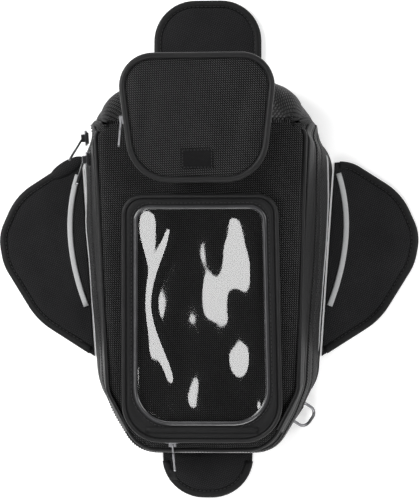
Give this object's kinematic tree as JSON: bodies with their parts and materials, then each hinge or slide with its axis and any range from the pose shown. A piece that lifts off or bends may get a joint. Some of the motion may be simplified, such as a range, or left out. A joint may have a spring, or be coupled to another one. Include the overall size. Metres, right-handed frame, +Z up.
{
  "type": "motorcycle tank bag",
  "caption": "Soft motorcycle tank bag with a zipped lid, clear window pocket, small top pouch and magnetic holding flaps.",
  "frame": {"origin": "centre of the bounding box, on the plane the bag lies on", "axes": "+Y towards the front of the motorcycle, +X to the right seen from the saddle, +Z up away from the tank"},
  "size_m": [0.3422, 0.406, 0.1298],
  "materials": {
    "shell_fabric": "coated ballistic nylon with a diagonal weave",
    "flap_fabric": "ballistic nylon over foam",
    "binding": "smooth folded edge binding, stitched",
    "lining": "plain lining",
    "grip_rubber": "non-slip matting",
    "board": "stiffener sheet",
    "zip_tape": "smooth zip tape",
    "zip_chain": "moulded coil",
    "piping": "round piping",
    "reflective": "reflective ribbon",
    "window_pvc": "clear glossy soft sheet",
    "window_binding": "glossy welded edge",
    "label": "blank woven patch",
    "hardware": "gunmetal plated",
    "magnet": "sealed magnet"
  },
  "bodies": {
    "base": {"underside_grip_pad": "grip_rubber", "base_panel": "lining", "base_stiffener_board": "board", "lower_shell": "shell_fabric", "main_zip_lower_tape": "zip_tape", "main_zip_lower_chain": "zip_chain", "zip_end_tabs": "binding", "side_reflective_piping": "reflective", "d_ring_tab": "binding"},
    "lid": {"lid_shell": "shell_fabric", "lid_piping": "piping", "main_zip_upper_tape": "zip_tape", "main_zip_upper_chain": "zip_chain", "pocket_rim": "shell_fabric", "pocket_zip_lower_chain": "zip_chain", "pouch_seam_strip": "shell_fabric", "pouch_shell": "shell_fabric", "pouch_reflective_line": "reflective", "pouch_zip_lower_chain": "zip_chain"},
    "window_flap": {"window_frame": "shell_fabric", "clear_window": "window_pvc", "window_edge_binding": "window_binding", "window_hem_band": "binding", "pocket_piping": "piping", "pocket_zip_upper_chain": "zip_chain"},
    "pouch_lid": {"pouch_cover": "shell_fabric", "pouch_piping": "piping", "pouch_blank_label": "label", "pouch_zip_upper_chain": "zip_chain"},
    "front_flap": {"front_flap_panel": "flap_fabric", "front_flap_binding": "binding", "front_flap_magnets": "magnet"},
    "rear_flap": {"rear_flap_panel": "flap_fabric", "rear_flap_binding": "binding", "rear_flap_magnets": "magnet"},
    "right_wing": {"right_wing_panel": "flap_fabric", "right_wing_binding": "binding", "right_wing_magnets": "magnet", "right_wing_ribbon": "reflective"},
    "left_wing": {"left_wing_panel": "flap_fabric", "left_wing_binding": "binding", "left_wing_magnets": "magnet", "left_wing_ribbon": "reflective"},
    "main_slider_rear": {"main_slider_rear": "hardware"},
    "main_pull_rear": {"main_pull_rear": "hardware"},
    "main_slider_front": {"main_slider_front": "hardware"},
    "main_pull_front": {"main_pull_front": "hardware"},
    "pouch_slider": {"pouch_slider": "hardware"},
    "pouch_pull": {"pouch_pull": "hardware"},
    "pocket_slider": {"pocket_slider": "hardware"},
    "pocket_pull": {"pocket_pull": "hardware"},
    "d_ring": {"d_ring": "hardware"}
  },
  "joints": [
    {"name": "lid_hinge", "type": "hinge", "parent": "base", "child": "lid", "pos_m": [0, 0.092, 0.092], "axis": [-1, 0, 0], "range_deg": [0, 60]},
    {"name": "window_hinge", "type": "hinge", "parent": "lid", "child": "window_flap", "pos_m": [0, 0.03506, 0.08733], "axis": [-1, 0, 0], "range_deg": [0, 62]},
    {"name": "pouch_hinge", "type": "hinge", "parent": "lid", "child": "pouch_lid", "pos_m": [0, 0.13995, 0.11959], "axis": [-1, 0, 0], "range_deg": [0, 100]},
    {"name": "front_flap_hinge", "type": "hinge", "parent": "base", "child": "front_flap", "pos_m": [0, 0.1415, 0.0025], "axis": [1, 0, 0], "range_deg": [-35, 45]},
    {"name": "rear_flap_hinge", "type": "hinge", "parent": "base", "child": "rear_flap", "pos_m": [0, -0.1675, 0.0025], "axis": [-1, 0, 0], "range_deg": [-35, 45]},
    {"name": "right_wing_hinge", "type": "hinge", "parent": "base", "child": "right_wing", "pos_m": [0.099, 0, 0.0025], "axis": [-0.0698, -0.9976, 0], "range_deg": [-35, 42]},
    {"name": "left_wing_hinge", "type": "hinge", "parent": "base", "child": "left_wing", "pos_m": [-0.099, 0, 0.0025], "axis": [-0.0698, 0.9976, 0], "range_deg": [-35, 42]},
    {"name": "main_slider_rear_slide", "type": "slide", "parent": "base", "child": "main_slider_rear", "axis": [0.0475, -0.9951, -0.0871], "range_m": [0, 0.16]},
    {"name": "main_pull_rear_swing", "type": "hinge", "parent": "main_slider_rear", "child": "main_pull_rear", "pos_m": [-0.09541, 0.0676, 0.05473], "axis": [-0.2512, 0.0725, -0.9652], "range_deg": [-15, 50]},
    {"name": "main_slider_front_slide", "type": "slide", "parent": "base", "child": "main_slider_front", "axis": [0.0475, -0.9951, -0.0871], "range_m": [-0.0012, 0.004]},
    {"name": "main_pull_front_swing", "type": "hinge", "parent": "main_slider_front", "child": "main_pull_front", "pos_m": [-0.09622, 0.0846, 0.05622], "axis": [-0.2512, 0.0725, -0.9652], "range_deg": [-5, 75]},
    {"name": "pouch_slider_slide", "type": "slide", "parent": "lid", "child": "pouch_slider", "axis": [0.1134, -0.9826, -0.1469], "range_m": [-0.012, 0.0165]},
    {"name": "pouch_pull_swing", "type": "hinge", "parent": "pouch_slider", "child": "pouch_pull", "pos_m": [-0.05916, 0.09242, 0.11158], "axis": [0, 0.1478, -0.989], "range_deg": [-7, 110]},
    {"name": "pocket_slider_slide", "type": "slide", "parent": "lid", "child": "pocket_slider", "axis": [1, 0, 0], "range_m": [-0.004, 0.052]},
    {"name": "pocket_pull_swing", "type": "hinge", "parent": "pocket_slider", "child": "pocket_pull", "pos_m": [-0.024, -0.15875, 0.05746], "axis": [0, 0.1478, -0.989], "range_deg": [-72, 75]},
    {"name": "d_ring_swing", "type": "hinge", "parent": "base", "child": "d_ring", "pos_m": [0.07409, -0.13334, 0.014], "axis": [-0.5576, -0.8301, 0], "range_deg": [-15, 75]}
  ]
}
